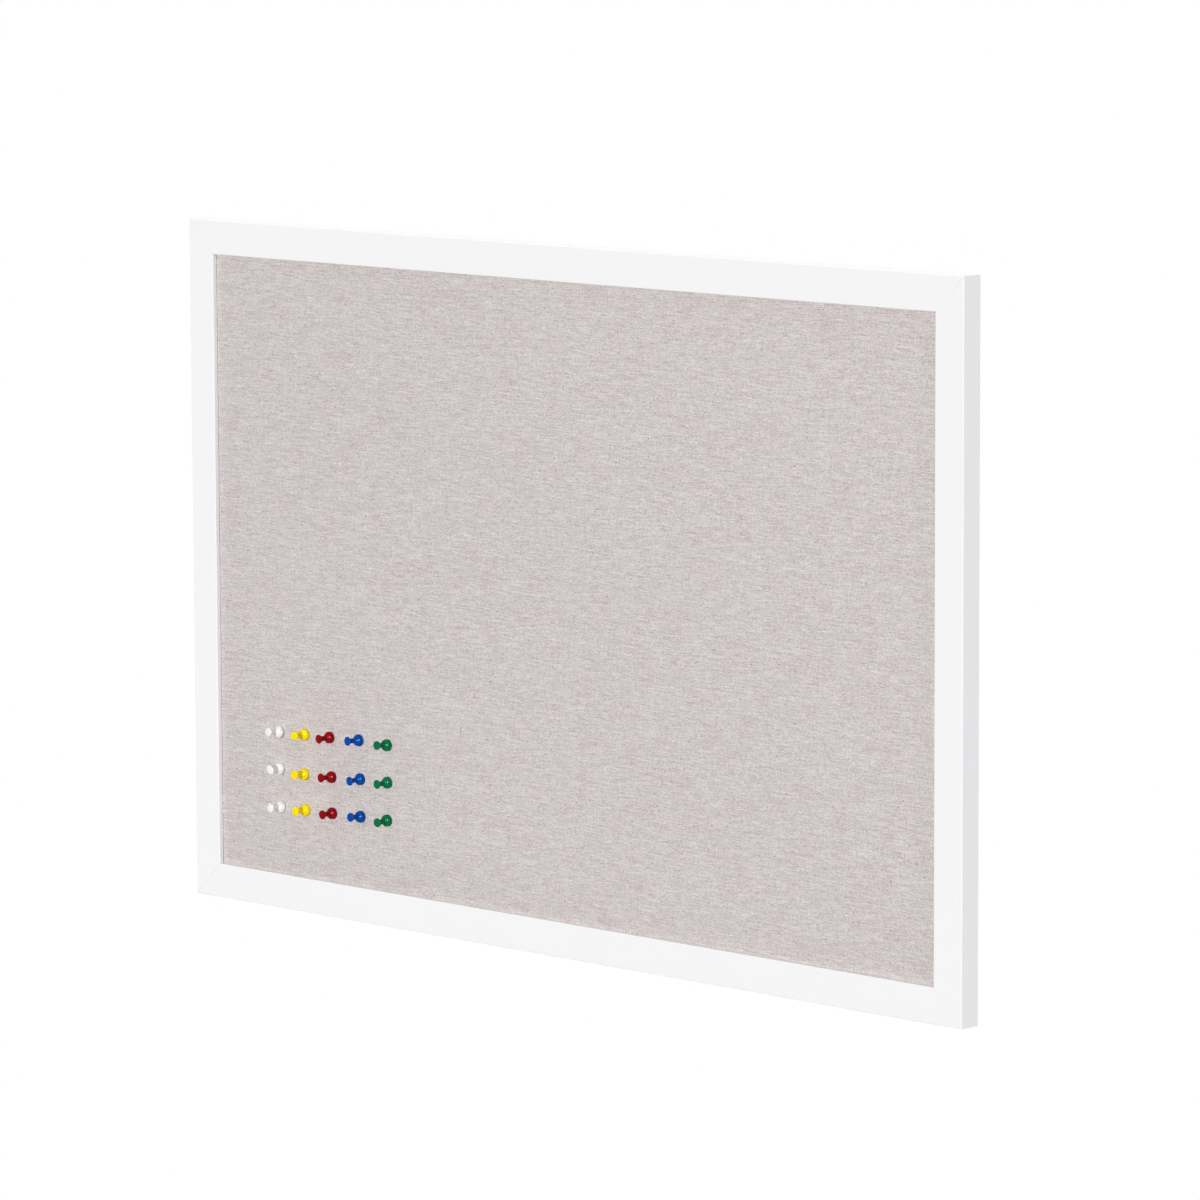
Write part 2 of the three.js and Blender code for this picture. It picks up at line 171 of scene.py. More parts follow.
# %% Values and finishes
class Value:
    def __init__(self, owner, socket):
        self.owner = owner
        self.socket = socket

    def math(self, operation, *values):
        return self.owner.node("ShaderNodeMath", {"operation": operation}, dict(enumerate(values)))

    def __add__(self, other):
        return self.math("ADD", self, other)

    def __sub__(self, other):
        return self.math("SUBTRACT", self, other)

    def __rsub__(self, other):
        return self.math("SUBTRACT", other, self)

    def __mul__(self, other):
        return self.math("MULTIPLY", self, other)

    def __truediv__(self, other):
        return self.math("DIVIDE", self, other)

    def __mod__(self, other):
        return self.math("FLOORED_MODULO", self, other)

    def floor(self):
        return self.math("FLOOR", self)

    def sine(self):
        return self.math("SINE", self)

    def absolute(self):
        return self.math("ABSOLUTE", self)

    def over(self, other):
        return self.math("MAXIMUM", self, other)

    def under(self, other):
        return self.math("MINIMUM", self, other)

    __radd__ = __add__
    __rmul__ = __mul__


class Finish:
    def __init__(self, name):
        self.material = bpy.data.materials.new(name)
        self.material.use_nodes = True
        self.tree = self.material.node_tree
        self.surface = self.tree.nodes["Principled BSDF"]

    def node(self, kind, settings=None, sockets=None, output=0):
        made = self.tree.nodes.new(kind)
        for key, value in (settings or {}).items():
            setattr(made, key, value)
        for key, value in (sockets or {}).items():
            self.feed(made.inputs[key], value)
        return Value(self, None if output is None else made.outputs[output])

    def feed(self, socket, value):
        if isinstance(value, Value):
            self.tree.links.new(value.socket, socket)
        else:
            socket.default_value = value

    def set(self, **sockets):
        for key, value in sockets.items():
            self.feed(self.surface.inputs[key.replace("_", " ")], value)

    def place(self, output="Object"):
        return self.node("ShaderNodeTexCoord", output=output)

    def path(self, ray):
        return self.node("ShaderNodeLightPath", output=ray)

    def seen(self):
        """1 for what the camera sees, straight or by way of metal or glass."""
        bounced = self.path("Is Glossy Ray").over(self.path("Is Transmission Ray"))
        return bounced.over(self.path("Is Camera Ray"))

    def axis(self, place, letter):
        return self.node("ShaderNodeSeparateXYZ", None, {0: place}, output=letter)

    def stretched(self, place, x, y, z):
        return self.node("ShaderNodeVectorMath", {"operation": "MULTIPLY"}, {0: place, 1: (x, y, z)})

    def noise(self, place, scale=1.0, detail=2.0, roughness=0.5, distortion=0.0):
        sockets = {"Vector": place, "Scale": scale, "Detail": detail, "Roughness": roughness,
                   "Distortion": distortion}
        return self.node("ShaderNodeTexNoise", None, sockets)

    def tinted(self, colour, amount):
        return self.node("ShaderNodeVectorMath", {"operation": "SCALE"}, {0: colour[:3], "Scale": amount})

    def mix(self, factor, a, b):
        sockets = {0: factor, 6: a, 7: b}
        return self.node("ShaderNodeMix", {"data_type": "RGBA"}, sockets, output=2)

    def bump(self, height, distance, strength=1.0):
        sockets = {"Height": height, "Distance": distance, "Strength": strength}
        return self.node("ShaderNodeBump", None, sockets)


# %% [markdown]
# ## White paint
# The frame is sprayed satin white. Spray leaves a very fine dimpled skin and a gloss that
# wanders a little. Two layers of noise give both: a fine one drives the bump, a broad one
# the roughness and a hardly visible change of tone.

# %% White paint
def white_paint():
    paint = Finish("white_paint")
    place = paint.place()
    broad = paint.noise(place, scale=9.0, detail=3.0)
    dimples = paint.noise(place, scale=900.0, detail=1.0)
    paint.set(
        Base_Color=paint.tinted((0.915, 0.915, 0.912), broad * 0.016 + 0.992),
        Roughness=broad * 0.12 + 0.34,
        Specular_IOR_Level=0.15,
        Normal=paint.bump(dimples, 0.02 * MM, 0.6),
    )
    return paint.material


paint_material = white_paint()
print("white paint: satin, with a fine sprayed skin")

# %% [markdown]
# ## Linen
# Linen is a plain weave of uneven threads: each swells into slubs a few millimetres long, and
# no two are quite the same tone. From across a room the weave itself blurs away and the slubs
# are what the eye sees, as short level streaks. So the tone, between a darker and pinker linen
# and a lighter one, comes from noise stretched along the threads, and the weave from a formula
# that lifts each thread over its neighbour in turn. In the colour, that weave is also painted
# shade: darker in the gaps and where a thread passes under. The small dark specks are painted
# shadows between the threads.

# %% Linen
LINEN_DARK = (0.384, 0.316, 0.309, 1.0)
LINEN_LIGHT = (0.896, 0.856, 0.837, 1.0)
THREAD = 0.52 * MM
UNDER_SHARE = 0.55
LEVEL_SLUBS = (82.0, 150.0, 1900.0)
UPRIGHT_SLUBS = (1900.0, 150.0, 140.0)
FINE_GRAIN = (800.0, 150.0, 1500.0)
THREAD_SHADOW_SPECKS = (420.0, 150.0, 1500.0)


def linen():
    cloth = Finish("linen")
    place = cloth.place()
    wander = cloth.noise(place, scale=70.0, detail=1.0)
    across = cloth.axis(place, "X") / THREAD + wander * 3.0
    up = cloth.axis(place, "Z") / THREAD + wander * 3.0
    column = across.floor()
    row = up.floor()
    weft_over = (column + row) % 2.0
    weft = (up * math.pi).sine().absolute() * (UNDER_SHARE + (1.0 - UNDER_SHARE) * weft_over)
    warp = (across * math.pi).sine().absolute() * (1.0 - (1.0 - UNDER_SHARE) * weft_over)
    threads = weft.over(warp)
    level = cloth.noise(cloth.stretched(place, *LEVEL_SLUBS), detail=1.0)
    upright = cloth.noise(cloth.stretched(place, *UPRIGHT_SLUBS), detail=1.0)
    grain = cloth.noise(cloth.stretched(place, *FINE_GRAIN), detail=0.0)
    # The dark specks are painted shadows between the threads, taken off the tone below.
    thread_shadows = cloth.noise(cloth.stretched(place, *THREAD_SHADOW_SPECKS), detail=0.0)
    clouds = cloth.noise(place, scale=28.0, detail=2.0)
    slubs = (level - 0.5) * 0.72 + (upright - 0.5) * 0.25
    # Random fine grain and broad clouds of tone, less the painted thread shadows.
    flecks_and_thread_shadows = (grain - 0.5) * 0.64 + (clouds - 0.5) * 0.03 - (thread_shadows - 0.65).over(0.0) * 1.9
    # The (threads - 0.75) term is painted shade of the weave, darker in the gaps and under-threads; the
    # rest is random tone.
    share = slubs + flecks_and_thread_shadows + (threads - 0.75) * 0.17 + 0.51
    relief = threads * 0.7 + level * 0.6 + upright * 0.3
    cloth.set(
        Base_Color=cloth.mix(share, LINEN_DARK, LINEN_LIGHT),
        Roughness=0.92,
        Specular_IOR_Level=0.12,
        Sheen_Weight=0.08,
        Sheen_Roughness=0.5,
        Normal=cloth.bump(relief, 0.09 * MM, 0.8),
    )
    return cloth.material


linen_material = linen()
print(f"linen: {1 / (THREAD * 100):.0f} threads to the centimetre")

# %% [markdown]
# ## Moulded plastic
# The pin handles are moulded in glossy opaque plastic, which keeps faint flow marks. It could
# be one material with a colour for each pin, but a factory dyes five batches of the same stuff,
# so one function makes five materials that differ in nothing but their colour.

# %% Moulded plastic
def plastic(name, colour):
    moulded = Finish(name)
    place = moulded.place()
    flow = moulded.noise(place, scale=220.0, detail=2.0, distortion=1.0)
    moulded.set(
        Base_Color=moulded.tinted(colour, flow * 0.06 + 0.97),
        Roughness=flow * 0.06 + 0.19,
        Specular_IOR_Level=0.05,
        Normal=moulded.bump(flow, 0.03 * MM, 0.3),
    )
    return moulded.material


PIN_COLOURS = {
    "white": (0.88, 0.88, 0.875),
    "yellow": (1.0, 0.76, 0.003),
    "red": (0.27, 0.002, 0.006),
    "blue": (0.0, 0.068, 0.36),
    "green": (0.0, 0.165, 0.055),
}
plastics = {name: plastic(f"{name}_plastic", colour) for name, colour in PIN_COLOURS.items()}
print(f"plastics: {', '.join(plastics)}")

# %% [markdown]
# ## Steel
# The hangers, screws and points are plated with zinc, which sets in dull grains. The needles
# and nails are bright drawn wire. Both are plain metal with fine scratches along the drawing,
# so one function makes them from a colour, a roughness and the strength of the grains.

# %% Steel
def steel(name, colour, roughness, spangle):
    plated = Finish(name)
    place = plated.place()
    grains = plated.noise(place, scale=650.0, detail=2.0)
    drawn = plated.noise(plated.stretched(place, 300.0, 2600.0, 300.0), detail=1.0)
    plated.set(
        Base_Color=plated.tinted(colour, grains * spangle + 1.0 - spangle / 2),
        Metallic=1.0,
        Roughness=drawn * 0.16 + roughness,
        Normal=plated.bump(drawn, 0.01 * MM, 0.5),
    )
    return plated.material


zinc_material = steel("zinc_steel", (0.62, 0.64, 0.66), 0.3, 0.18)
bright_material = steel("bright_steel", (0.72, 0.73, 0.74), 0.14, 0.06)
print("steel: zinc plate and bright wire")

# %% [markdown]
# ## Rubber and boards
# The bumpers are pale rubber with a dusty bloom. Hardboard is pressed from dark wood fibres,
# and the soft board that the pins go into is a lighter and looser kind of it. Real fibres
# would be thousands of hairs, but from outside they are only a mottled tone, so noise mixes a
# dark and a light brown, and a little of it goes into the bump.

# %% Rubber and boards
def rubber():
    soft = Finish("rubber")
    place = soft.place()
    bloom = soft.noise(place, scale=160.0, detail=3.0)
    grain = soft.noise(place, scale=1500.0, detail=1.0)
    soft.set(
        Base_Color=soft.tinted((0.66, 0.67, 0.65), bloom * 0.1 + 0.95),
        Roughness=bloom * 0.15 + 0.5,
        Normal=soft.bump(grain, 0.03 * MM, 0.6),
    )
    return soft.material


def fibre_board(name, dark, light, fibre, roughness):
    board = Finish(name)
    place = board.place()
    grain = board.stretched(place, fibre, fibre, fibre * 0.45)
    fibres = board.noise(grain, detail=5.0, roughness=0.7, distortion=0.6)
    blotches = board.noise(place, scale=14.0, detail=2.0)
    share = (fibres * 0.75 + blotches * 0.25 - 0.3) * 2.4
    board.set(
        Base_Color=board.mix(share, (*dark, 1.0), (*light, 1.0)),
        Roughness=fibres * 0.2 + roughness,
        Normal=board.bump(fibres, 0.08 * MM, 0.8),
    )
    return board.material


rubber_material = rubber()
hardboard_material = fibre_board("hard_board", (0.12, 0.056, 0.024), (0.27, 0.145, 0.07), 420.0, 0.55)
soft_board_material = fibre_board("soft_board", (0.36, 0.25, 0.13), (0.56, 0.44, 0.27), 260.0, 0.75)
print("rubber, hardboard and soft board")

# %% [markdown]
# ## The frame's four rails
# On the bench a rail is a planed strip, rounded along its front edges, with a rabbet behind
# the inner edge that the panel drops into. The lip's hidden back edge is eased a little, which
# leaves a faint line round the linen. It could be one profile pushed along a path, but a strip
# cut to its mitres is how it is really made, and keeps the joints as true edges.

# %% One rail
top_low, top_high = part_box("top_rail")
RAIL_FACE = top_high.z - top_low.z
FRAME_DEPTH = top_high.y - top_low.y
BOARD_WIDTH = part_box("right_stile")[1].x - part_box("left_stile")[0].x
BOARD_HEIGHT = top_high.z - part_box("bottom_rail")[0].z
BOARD_CENTRE = Vector((0, top_low.y, top_high.z - BOARD_HEIGHT / 2))
LIP_DEPTH = 4.0 * MM
RABBET_WIDTH = 6.4 * MM
FRONT_RADIUS = 0.8 * MM
BACK_RADIUS = 0.5 * MM
LIP_EASE = 0.4 * MM
GLUE_LINE = 0.06 * MM
MITRE_EASE = 0.02 * MM
ROUND_STEPS = 6


def rail(name, length):
    flat = RAIL_FACE - RABBET_WIDTH
    piece = start(name, bpy.ops.mesh.primitive_cube_add, size=1, scale=(length, LIP_DEPTH, RAIL_FACE),
                  location=(0, LIP_DEPTH / 2, -RAIL_FACE / 2))
    pick(piece, "faces", lambda centre, normal: True)
    bpy.ops.mesh.bisect(plane_co=(0, 0, -flat), plane_no=(0, 0, 1))
    pick(piece, "faces", lambda centre, normal: normal.y > 0.9 and centre.z > -flat)
    bpy.ops.mesh.extrude_region_move(TRANSFORM_OT_translate={"value": (0, FRAME_DEPTH - LIP_DEPTH, 0)})
    pick(piece, "edges", lambda a, b: near(a.y, 0) and near(b.y, 0) and near(a.z, b.z))
    bpy.ops.mesh.bevel(offset=FRONT_RADIUS, segments=ROUND_STEPS, affect="EDGES")
    pick(piece, "edges", lambda a, b: near(a.y + b.y, 2 * FRAME_DEPTH) and near(a.z + b.z, 0))
    bpy.ops.mesh.bevel(offset=BACK_RADIUS, segments=ROUND_STEPS, affect="EDGES")
    pick(piece, "edges", lambda a, b: near(a.y + b.y, 2 * LIP_DEPTH) and near(a.z + b.z, -2 * RAIL_FACE))
    bpy.ops.mesh.bevel(offset=LIP_EASE, segments=1, affect="EDGES")
    for side in (-1, 1):
        pick(piece, "faces", lambda centre, normal: True)
        end = side * (length / 2 - GLUE_LINE / math.sqrt(2))
        bpy.ops.mesh.bisect(plane_co=(end, 0, 0), plane_no=(side, 0, -1), clear_outer=True, use_fill=True)
    pick(piece, "edges", lambda a, b: near(a.y, 0) and near(b.y, 0) and not near(a.z, b.z))
    bpy.ops.mesh.bevel(offset=MITRE_EASE, segments=2, affect="EDGES")
    alone(piece)
    return piece


SIDES = {
    "top_rail": (BOARD_WIDTH, 0, (0, 1)),
    "right_stile": (BOARD_HEIGHT, 90, (1, 0)),
    "bottom_rail": (BOARD_WIDTH, 180, (0, -1)),
    "left_stile": (BOARD_HEIGHT, -90, (-1, 0)),
}
rails = {}
for node, (length, turn, (across, up)) in SIDES.items():
    made = rail(node.replace("_", "-"), length)
    edge = Vector((across * BOARD_WIDTH / 2, 0, up * BOARD_HEIGHT / 2))
    made.data.transform(Matrix.Rotation(math.radians(turn), 4, "Y"))
    made.data.transform(Matrix.Translation(BOARD_CENTRE + edge))
    rails[node] = made
print(f"frame {BOARD_WIDTH / MM:.0f} x {BOARD_HEIGHT / MM:.0f} x {FRAME_DEPTH / MM:.0f} mm")

# %% [markdown]
# ## Slots and screw holes in the rails
# Steel goes into the wood from behind: a corner nail across each mitre, a point every so often
# to hold the panel, a screw through each hanger. Each slot is a block as large as the steel's
# own box and a little more, taken away from the rails.

# %% Cut the slots
SLOT_CLEARANCE = 0.15 * MM
SLOT_OVERRUN = 1.0 * MM
NAIL_THICKNESS = 0.5 * MM
SCREW_RADIUS = 1.7 * MM
nails = [node for node in frame["nodes"] if node.startswith("corner_nail")]
points = [node for node in frame["nodes"] if node.startswith("retainer_point")]
screws = [node for node in frame["nodes"] if node.endswith("_screw")]


def block(low, high):
    grow = Vector((SLOT_CLEARANCE,) * 3)
    size = high - low + 2 * grow
    return start("block", bpy.ops.mesh.primitive_cube_add, size=1, scale=size, location=(low + high) / 2)


level_cuts = [block(*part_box(node)) for node in points]
upright_cuts = []
for node in nails:
    low, high = (corner.copy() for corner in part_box(node))
    high.y += SLOT_OVERRUN
    level_low, level_high, upright_low, upright_high = low.copy(), high.copy(), low.copy(), high.copy()
    if (low.z + high.z) / 2 > BOARD_CENTRE.z:
        level_low.z = high.z - NAIL_THICKNESS
    else:
        level_high.z = low.z + NAIL_THICKNESS
    if low.x + high.x > 0:
        upright_low.x = high.x - NAIL_THICKNESS
    else:
        upright_high.x = low.x + NAIL_THICKNESS
    level_cuts.append(block(level_low, level_high))
    upright_cuts.append(block(upright_low, upright_high))
for node in screws:
    low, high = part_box(node)
    level_cuts.append(start("hole", bpy.ops.mesh.primitive_cylinder_add, vertices=48,
                            radius=SCREW_RADIUS + SLOT_CLEARANCE, depth=high.y - low.y,
                            location=(low + high) / 2 - Vector((0, SLOT_CLEARANCE, 0)),
                            rotation=(math.pi / 2, 0, 0)))
cutters = [join("level_cutter", level_cuts), join("upright_cutter", upright_cuts)]
for node, piece in rails.items():
    for cutter in cutters:
        cut(piece, cutter)
    smooth(piece)
    modify(piece, "WEIGHTED_NORMAL", keep_sharp=True, weight=100)
    finish(piece, paint_material, "board", "white_paint", node)
for cutter in cutters:
    bpy.data.objects.remove(cutter)
print(f"slots for {len(nails)} nails and {len(points)} points, and {len(screws)} screw holes")

# %% [markdown]
# ## The linen
# The cloth is cut larger than the panel, pulled over its face, round its edges and glued down
# behind as a hem. It could be simulated, but stretched cloth lies dead flat, so it is modelled:
# a box without the middle of its back, its folds rounded, then given the cloth's thickness.

# %% Wrap the linen
LINEN_THICKNESS = 0.6 * MM
HEM_WIDTH = 22 * MM
FOLD_RADIUS = 1.1 * MM
linen_low, linen_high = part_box("linen_cloth")
linen_size = linen_high - linen_low
cloth = start("linen-cloth", bpy.ops.mesh.primitive_cube_add, size=1, scale=linen_size,
              location=(linen_low + linen_high) / 2)
pick(cloth, "faces", lambda centre, normal: normal.y > 0.9)
bpy.ops.mesh.inset(thickness=HEM_WIDTH)
bpy.ops.mesh.delete(type="FACE")


def on_the_rim(a, b, axis):
    return near(a[axis], b[axis]) and (near(a[axis], linen_low[axis]) or near(a[axis], linen_high[axis]))


pick(cloth, "edges", lambda a, b: on_the_rim(a, b, 0) or on_the_rim(a, b, 2))
bpy.ops.mesh.bevel(offset=FOLD_RADIUS, segments=4, affect="EDGES")
modify(cloth, "SOLIDIFY", thickness=LINEN_THICKNESS, offset=-1, use_even_offset=True)
print(f"linen wraps a panel of {linen_size.x / MM:.1f} x {linen_size.z / MM:.1f} mm")

# %% [markdown]
# ## Where the pins stand
# Each pin's joint gives the line that it pulls out along, which is the pin's own axis. The
# middle of its foot is the centre of the lowest ring of points of its handle, measured along
# that line. Everything that belongs to a pin is placed from these two.

# %% Pin places
SAME_RING = 0.02 * MM


class Pin:
    def __init__(self, joint):
        self.body = joint["child"]
        self.colour = self.body.split("_")[0]
        self.out = Vector(joint["axis"]).normalized()
        handle = frame["nodes"][f"{self.body}_handle"].data
        corners = {tuple(round(number, 7) for number in point.co) for point in handle.vertices}
        lowest = min(Vector(corner).dot(self.out) for corner in corners)
        ring = [Vector(corner) for corner in corners if Vector(corner).dot(self.out) < lowest + SAME_RING]
        self.foot = sum(ring, Vector()) / len(ring)

    def place(self):
        turn = Vector((0, 0, 1)).rotation_difference(self.out)
        return Matrix.Translation(self.foot) @ turn.to_matrix().to_4x4()


pins = [Pin(joint) for joint in frame["joints"] if joint["name"].endswith("_pull")]
print(f"{len(pins)} pins, the first foot at {pins[0].foot}")

# %% [markdown]
# ## Needle holes
# A needle pushes the threads aside and leaves a small round hole, which the pin's foot hides
# until the pin comes out. Fifteen thin rods, one along each pin, are taken out of the cloth.

# %% Pierce the linen
NEEDLE_HOLE_RADIUS = 0.85 * MM
ROD_LENGTH = 6 * MM
rods = []
for pin in pins:
    rod = start("rod", bpy.ops.mesh.primitive_cylinder_add, vertices=24,
                radius=NEEDLE_HOLE_RADIUS, depth=ROD_LENGTH)
    rod.data.transform(pin.place())
    rods.append(rod)
piercer = join("piercer", rods)
cut(cloth, piercer)
bpy.data.objects.remove(piercer)
smooth(cloth)
finish(cloth, linen_material, "board", "linen", "linen_cloth")

# %% [markdown]
# ## Turned pieces
# Pin handles, needles, screws and bumpers are all round. On a lathe they are one outline swept
# round an axis. Here a circle is drawn at the first point of the outline and then pushed and
# scaled from point to point, as a hand would, until it closes on the axis.

# %% Turn an outline
def curve_points(start_point, control, end_point, steps):
    """Points of a quadratic curve, without its first."""
    points = []
    for i in range(1, steps + 1):
        t = i / steps
        points.append(tuple((1 - t) ** 2 * s + 2 * t * (1 - t) * c + t**2 * e
                            for s, c, e in zip(start_point, control, end_point)))
    return points


def turned(name, outline, segments):
    """outline is a list of (radius, height). A radius of 0 at either end closes the piece there."""
    closed_start = outline[0][0] == 0
    rings = outline[1:] if closed_start else outline
    radius, height = rings[0]
    piece = start(name, bpy.ops.mesh.primitive_circle_add, vertices=segments, radius=radius,
                  location=(0, 0, height), fill_type="NOTHING")
    pick(piece, "points", lambda point: True)
    if closed_start:
        bpy.ops.mesh.extrude_region_move(TRANSFORM_OT_translate={"value": (0, 0, outline[0][1] - height)})
        bpy.ops.mesh.merge(type="CENTER")
        pick(piece, "points", lambda point: math.hypot(point.x, point.y) > radius / 2)
    for next_radius, next_height in rings[1:]:
        bpy.ops.mesh.extrude_region_move(TRANSFORM_OT_translate={"value": (0, 0, next_height - height)})
        if next_radius > 0:
            share = next_radius / radius
            bpy.ops.transform.resize(value=(share, share, 1), center_override=(0, 0, next_height))
            radius = next_radius
        else:
            bpy.ops.mesh.merge(type="CENTER")
        height = next_height
    bpy.ops.mesh.select_all(action="SELECT")
    bpy.ops.mesh.normals_make_consistent(inside=False)
    alone(piece)
    return piece


# %% [markdown]
# ## Push pins
# A handle is moulded onto its needle: a domed skirt that rests on the cloth, a narrow waist for
# the fingers, and a disc to push on. It could be carved from a cylinder, but it is round all
# over, so one outline of arcs says everything about it. The needle stands in a bore in its foot.

# %% Model one handle and one needle
HANDLE_LENGTH = 12.4 * MM
FOOT_EDGE = 0.15 * MM
FOOT_FLARE = 0.06 * MM
FOOT_RISE = 0.18 * MM
SKIRT_RADIUS = 4.4 * MM
SKIRT_TUCK = 0.5 * MM
SKIRT_SHOULDER = 0.7 * MM
SKIRT_RISE = 1.3 * MM
SKIRT_DOME = 3.9 * MM
DOME_STEPS = 12
WAIST_RADIUS = 1.85 * MM
WAIST_FILLET = 0.9 * MM
WAIST_FILLET_LENGTH = 1.4 * MM
HEAD_RADIUS = 3.3 * MM
HEAD_THICKNESS = 1.0 * MM
HEAD_CROWN = 0.45 * MM
HEAD_EDGE = 0.3 * MM
HEAD_FLARE = 1.7 * MM
CROWN_LIFT = 0.04 * MM
CROWN_FLAT_SHARE = 0.45
NEEDLE_RADIUS = 0.55 * MM
NEEDLE_IN_HANDLE = 6 * MM
NEEDLE_REACH = 9.5 * MM
NEEDLE_POINT = 2.4 * MM
NEEDLE_TIP = 0.03 * MM
NEEDLE_EDGE = 0.1 * MM
BORE_CLEARANCE = 0.3 * MM
HANDLE_SEGMENTS = 56
NEEDLE_SEGMENTS = 24


def handle_outline():
    bore = NEEDLE_RADIUS + BORE_CLEARANCE
    bore_top = NEEDLE_IN_HANDLE + BORE_CLEARANCE
    foot = SKIRT_RADIUS - SKIRT_TUCK
    outline = [(0, bore_top), (bore, bore_top), (bore, 0), (foot - FOOT_EDGE, 0)]
    outline += curve_points(outline[-1], (foot, 0), (foot + FOOT_FLARE, FOOT_RISE), 3)
    outline += curve_points(outline[-1], (SKIRT_RADIUS, SKIRT_SHOULDER), (SKIRT_RADIUS, SKIRT_RISE), 4)
    dome_end = math.acos((WAIST_RADIUS + WAIST_FILLET) / SKIRT_RADIUS)
    for i in range(1, DOME_STEPS + 1):
        angle = dome_end * i / DOME_STEPS
        outline.append((SKIRT_RADIUS * math.cos(angle), SKIRT_RISE + SKIRT_DOME * math.sin(angle)))
    dome_top = outline[-1][1]
    outline += curve_points(outline[-1], (WAIST_RADIUS, dome_top + WAIST_FILLET / 2),
                            (WAIST_RADIUS, dome_top + WAIST_FILLET_LENGTH), 6)
    head_top = HANDLE_LENGTH - HEAD_CROWN
    head_foot = head_top - HEAD_THICKNESS
    outline.append((WAIST_RADIUS, head_foot - HEAD_FLARE))
    outline += curve_points(outline[-1], (WAIST_RADIUS, head_foot), (HEAD_RADIUS - HEAD_EDGE, head_foot), 8)
    outline += curve_points(outline[-1], (HEAD_RADIUS, head_foot), (HEAD_RADIUS, head_foot + HEAD_EDGE), 3)
    outline.append((HEAD_RADIUS, head_top - HEAD_EDGE))
    crown_rim = (HEAD_RADIUS - HEAD_EDGE, head_top + CROWN_LIFT)
    outline += curve_points(outline[-1], (HEAD_RADIUS, head_top), crown_rim, 3)
    crown_flat = (HEAD_RADIUS * CROWN_FLAT_SHARE, HANDLE_LENGTH)
    outline += curve_points(outline[-1], crown_flat, (0, HANDLE_LENGTH), 5)
    return outline


def needle_outline():
    tip = -NEEDLE_REACH
    shoulder = (NEEDLE_RADIUS, tip + NEEDLE_POINT)
    outline = [(0, tip), (NEEDLE_TIP, tip + NEEDLE_TIP)]
    outline += curve_points(outline[-1], (NEEDLE_RADIUS * 0.85, tip + NEEDLE_POINT * 0.7), shoulder, 6)
    outline.append((NEEDLE_RADIUS, NEEDLE_IN_HANDLE - NEEDLE_EDGE))
    outline.append((NEEDLE_RADIUS - NEEDLE_EDGE, NEEDLE_IN_HANDLE))
    outline.append((0, NEEDLE_IN_HANDLE))
    return outline


master_handle = turned("master_handle", handle_outline(), HANDLE_SEGMENTS)
smooth(master_handle, 50)
master_needle = turned("master_needle", needle_outline(), NEEDLE_SEGMENTS)
smooth(master_needle, 50)
print(f"handle: {len(master_handle.data.polygons)} faces, needle: {len(master_needle.data.polygons)}")

# %% [markdown]
# ## Fifteen pins
# No two pins were pushed in quite alike: each stands a little off its place and leans a little.
# Copies could share one mesh and differ only in their place, which would be lighter. Here each
# gets a mesh of its own, moved onto its pin's axis, so that every piece lies in the board's own
# frame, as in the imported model.

# %% Give every pin its handle and needle
def copy_of(master, name, place):
    piece = master.copy()
    piece.data = master.data.copy()
    piece.name = name
    piece.data.name = name
    piece.data.transform(place)
    bpy.context.scene.collection.objects.link(piece)
    return piece


for pin in pins:
    handle = copy_of(master_handle, f"{pin.body}-handle", pin.place())
    finish(handle, plastics[pin.colour], pin.body, f"{pin.colour}_plastic", f"{pin.body}_handle")
    needle = copy_of(master_needle, f"{pin.body}-needle", pin.place())
    finish(needle, bright_material, pin.body, "bright_steel", f"{pin.body}_needle")
for master in (master_handle, master_needle):
    bpy.data.objects.remove(master)
print(f"{len(pins)} handles and needles placed")

# %% [markdown]
# ## Plates, points and nails
# The backing, the points and the corner nails have their true outlines in the model already.
# A copy of each is merged into one skin and its edges are eased, because no sawn, stamped or
# pressed edge is perfectly sharp, and an eased one catches the light. The soft board keeps
# the model's own shape and only gets its finish.

# %% Ease the edges of the flat pieces
SAWN_EDGE = 0.25 * MM
STAMPED_EDGE = 0.08 * MM
NAIL_EDGE = 0.06 * MM


def eased(node, offset, material, slot):
    source = frame["nodes"][node]
    piece = source.copy()
    piece.data = source.data.copy()
    piece.parent = None
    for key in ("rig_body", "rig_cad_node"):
        if key in piece:
            del piece[key]
    piece.name = node.replace("_", "-")
    bpy.context.scene.collection.objects.link(piece)
    alone(piece)
    bpy.ops.object.mode_set(mode="EDIT")
    bpy.ops.mesh.select_all(action="SELECT")
    bpy.ops.mesh.remove_doubles(threshold=WELD)
    bpy.ops.mesh.dissolve_limited(angle_limit=math.radians(1))
    modify(piece, "BEVEL", width=offset, segments=2, limit_method="ANGLE", angle_limit=math.radians(40))
    smooth(piece)
    finish(piece, material, "board", slot, node)


eased("backing_panel", SAWN_EDGE, hardboard_material, "hard_board")
for node in points:
    eased(node, STAMPED_EDGE, zinc_material, "zinc_steel")
for node in nails:
    eased(node, NAIL_EDGE, bright_material, "bright_steel")
frame["nodes"]["core_board"].data.materials.clear()
frame["nodes"]["core_board"].data.materials.append(soft_board_material)
print(f"{1 + len(points) + len(nails)} flat pieces eased")

# %% [markdown]
# ## Bumpers
# A pale rubber dome sticks to each corner of the frame's back and keeps the frame off the wall.
# It could be a flattened ball, but a real one is cast with a straight edge and a small flat top,
# so it is turned from one outline, like the pins.

# %% Turn the bumpers
BUMPER_RADIUS = 5.5 * MM
BUMPER_HEIGHT = 5.0 * MM
BUMPER_FACE = 3.6 * MM
BUMPER_EDGE = 1.2 * MM
BUMPER_FOOT = 0.2 * MM
BUMPER_SEGMENTS = 64


